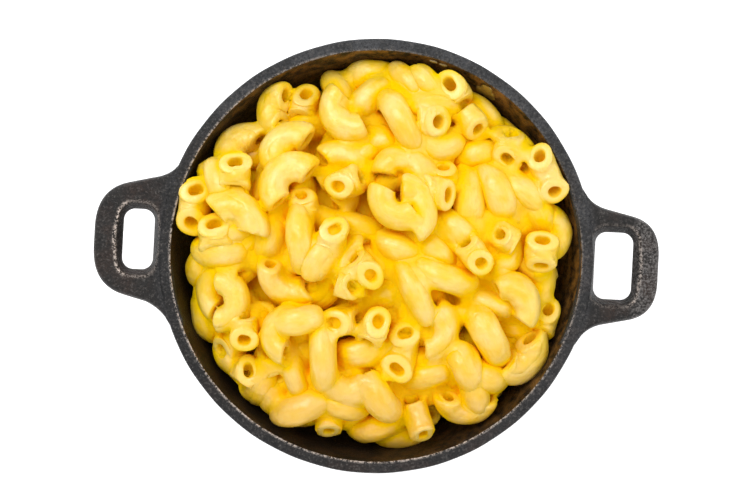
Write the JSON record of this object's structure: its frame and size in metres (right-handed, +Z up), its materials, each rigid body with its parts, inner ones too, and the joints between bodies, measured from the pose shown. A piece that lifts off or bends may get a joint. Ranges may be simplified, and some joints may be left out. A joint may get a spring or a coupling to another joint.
{
  "type": "mac and cheese",
  "caption": "Elbow macaroni in cheese sauce, heaped over the rim of a small round cast iron dish with two loop handles.",
  "frame": {"origin": "on the table under the middle of the dish", "axes": "+Z up through the open top of the dish, X along the line through the two handles"},
  "size_m": [0.1828, 0.14, 0.0599],
  "materials": {
    "cast_iron": "rough, seasoned black",
    "macaroni": "soft and wet, coated with cheese sauce"
  },
  "bodies": {
    "root": {"dish": "cast_iron", "macaroni": "macaroni"}
  },
  "joints": []
}
